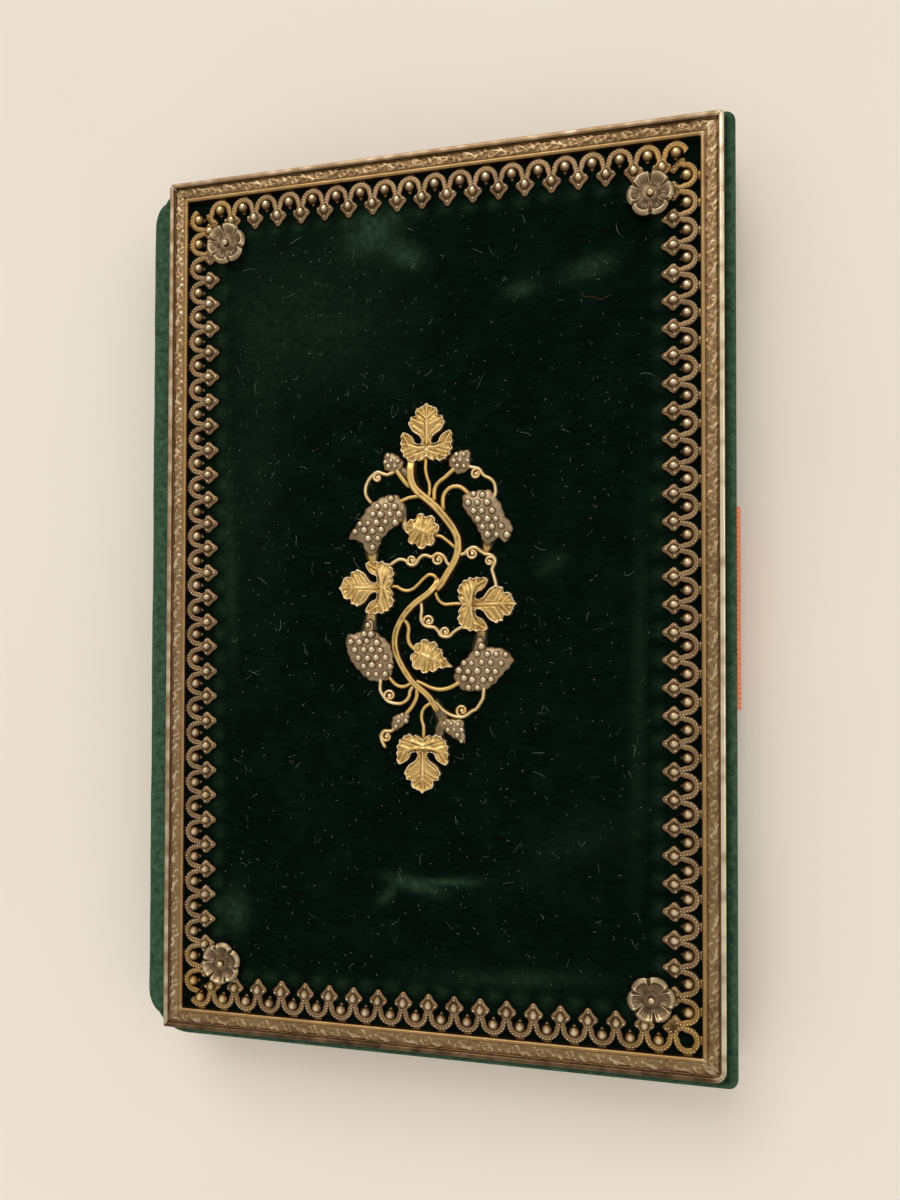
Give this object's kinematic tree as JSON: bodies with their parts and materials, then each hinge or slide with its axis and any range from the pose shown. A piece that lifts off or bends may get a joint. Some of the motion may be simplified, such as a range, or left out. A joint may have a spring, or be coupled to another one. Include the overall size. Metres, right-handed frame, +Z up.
{
  "type": "aide memoire case",
  "caption": "Book-shaped velvet notebook case with a soft hinged spine, pierced gilt gallery border, corner rosettes and vine mount, holding a memo pad and a pencil.",
  "frame": {"origin": "on the face that the closed case lies on, below the middle of the front cover's metal border", "axes": "+X from the spine to the fore-edge, +Y from tail to head, +Z up out of the decorated front cover"},
  "size_m": [0.0796, 0.1166, 0.0128],
  "materials": {
    "velvet": "silk velvet, deep bottle green, worn at the edges",
    "cover_board": "pasteboard, covered",
    "coral_silk": "ribbed silk, satin",
    "coral_ribbon": "ribbed silk ribbon",
    "gilt_border": "stamped and pierced gilt metal, aged rose gold",
    "silvered_rosette": "stamped silvered metal, aged",
    "gilt_vine": "stamped gilt metal, yellow gold",
    "silvered_grape": "stamped silvered metal, aged",
    "memo_paper": "laid paper, cream",
    "pencil_silver": "drawn silver, polished",
    "pencil_gilt": "turned gilt metal",
    "graphite": "graphite lead"
  },
  "bodies": {
    "back_cover": {"back_board": "cover_board", "back_velvet": "velvet", "back_lining": "coral_silk", "back_pocket": "coral_silk", "pencil_loop": "coral_ribbon"},
    "spine": {"spine_velvet": "velvet", "spine_inlay": "cover_board", "spine_lining": "coral_silk"},
    "front_cover": {"front_board": "cover_board", "front_velvet": "velvet", "front_lining": "coral_silk", "front_pocket": "coral_silk", "border_top": "gilt_border", "border_bottom": "gilt_border", "border_left": "gilt_border", "border_right": "gilt_border", "rosette_top_left": "silvered_rosette", "rosette_top_right": "silvered_rosette", "rosette_bottom_left": "silvered_rosette", "rosette_bottom_right": "silvered_rosette", "rosette_pins": "silvered_rosette", "vine_stem": "gilt_vine", "vine_tendrils": "gilt_vine", "leaf_top": "gilt_vine", "leaf_bottom": "gilt_vine", "leaf_left": "gilt_vine", "leaf_right": "gilt_vine", "leaf_small_upper": "gilt_vine", "leaf_small_lower": "gilt_vine", "grapes_upper_left": "silvered_grape", "grapes_upper_right": "silvered_grape", "grapes_lower_left": "silvered_grape", "grapes_lower_right": "silvered_grape", "berries_top_left": "silvered_grape", "berries_top_right": "silvered_grape", "berries_bottom_left": "silvered_grape", "berries_bottom_right": "silvered_grape", "vine_pins": "gilt_vine"},
    "memo": {"memo_leaves": "memo_paper", "memo_card": "memo_paper", "memo_binding": "coral_silk"},
    "pencil": {"pencil_barrel": "pencil_silver", "pencil_lead": "graphite", "pencil_cap": "pencil_gilt"}
  },
  "joints": [
    {"name": "spine_fold", "type": "hinge", "parent": "back_cover", "child": "spine", "pos_m": [-0.039, 0, 0.002], "axis": [0, -1, 0], "range_deg": [0, 90]},
    {"name": "cover_open", "type": "hinge", "parent": "spine", "child": "front_cover", "pos_m": [-0.039, 0, 0.0108], "axis": [0, -1, 0], "range_deg": [0, 90]},
    {"name": "memo_slide", "type": "slide", "parent": "back_cover", "child": "memo", "axis": [0, 1, 0], "range_m": [0, 0.035]},
    {"name": "pencil_slide", "type": "slide", "parent": "back_cover", "child": "pencil", "axis": [0, 1, 0], "range_m": [0, 0.052]}
  ],
  "couplings": [
    {"joint": "cover_open", "follows": "spine_fold", "ratio": 1}
  ]
}
